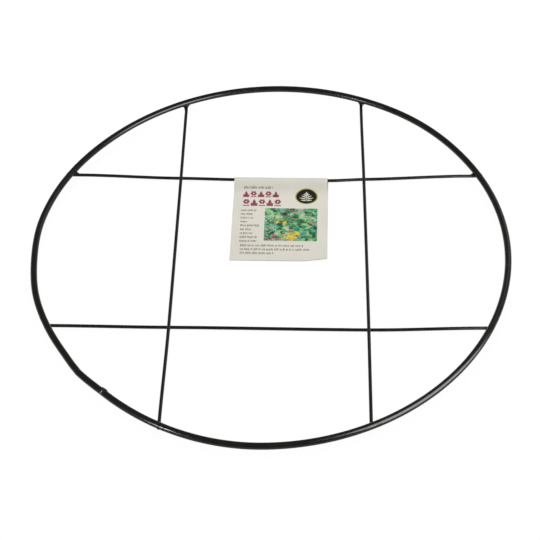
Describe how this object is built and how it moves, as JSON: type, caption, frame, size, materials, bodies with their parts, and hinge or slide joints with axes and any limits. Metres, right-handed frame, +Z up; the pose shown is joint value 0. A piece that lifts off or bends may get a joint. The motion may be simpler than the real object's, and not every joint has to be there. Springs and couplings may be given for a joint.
{
  "type": "plant support frame",
  "caption": "Round wire hoop with a grid of thinner wires welded under it that keeps plant stems upright, and a folded hang card on the grid.",
  "frame": {"origin": "on the ground that the frame lies on, below the middle of the hoop", "axes": "+Z up, square to the hoop; +X to the right and +Y to the back for someone who reads the card"},
  "size_m": [0.4043, 0.4056, 0.0121],
  "materials": {
    "coat": "satin",
    "weld_coat": "satin",
    "printed_card": "matte"
  },
  "bodies": {
    "frame": {"hoop": "coat", "wire_left": "coat", "wire_right": "coat", "wire_front": "coat", "wire_back": "coat", "weld_left_front": "weld_coat", "weld_left_back": "weld_coat", "weld_right_front": "weld_coat", "weld_right_back": "weld_coat", "weld_front_left": "weld_coat", "weld_front_right": "weld_coat", "weld_back_left": "weld_coat", "weld_back_right": "weld_coat", "weld_cross_front_left": "weld_coat", "weld_cross_front_right": "weld_coat", "weld_cross_back_left": "weld_coat", "weld_cross_back_right": "weld_coat", "weld_hoop_joint": "weld_coat"},
    "card": {"card": "printed_card"}
  },
  "joints": [
    {"name": "card_swing", "type": "hinge", "parent": "frame", "child": "card", "pos_m": [0.0082, 0.08845, 0.0021], "axis": [-0.9999, 0.0109, 0], "continuous": true}
  ]
}
